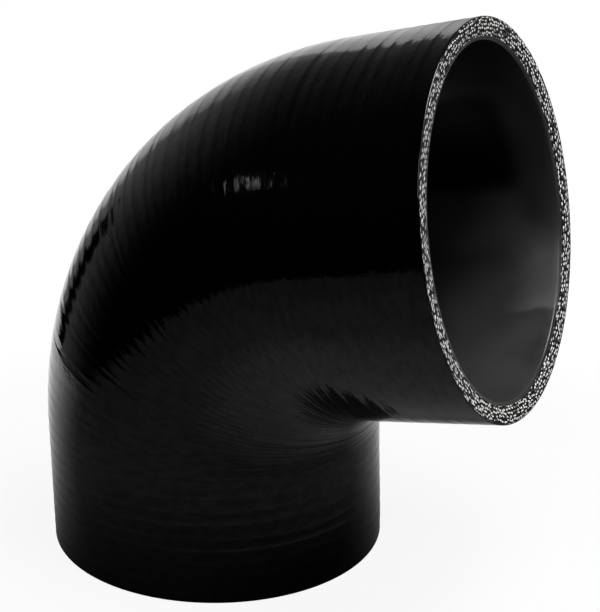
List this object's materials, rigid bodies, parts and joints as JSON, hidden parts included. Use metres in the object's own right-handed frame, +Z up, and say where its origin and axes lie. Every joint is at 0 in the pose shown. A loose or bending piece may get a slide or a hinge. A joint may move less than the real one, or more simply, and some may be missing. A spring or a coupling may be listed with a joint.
{
  "type": "silicone elbow hose",
  "caption": "Thick-walled black silicone hose elbow with square-cut open ends, a smooth bore and faint wrap ridges fanned round its bend.",
  "frame": {"origin": "middle of the footprint of the whole hose, on the plane that its lower end stands on", "axes": "+Z up along the lower leg, +X towards the open mouth, Y across the hose's plane of symmetry"},
  "size_m": [0.145, 0.099, 0.1519],
  "materials": {
    "silicone": "glossy wrapped outside, satin bore"
  },
  "bodies": {
    "root": {"elbow_hose": "silicone"}
  },
  "joints": []
}
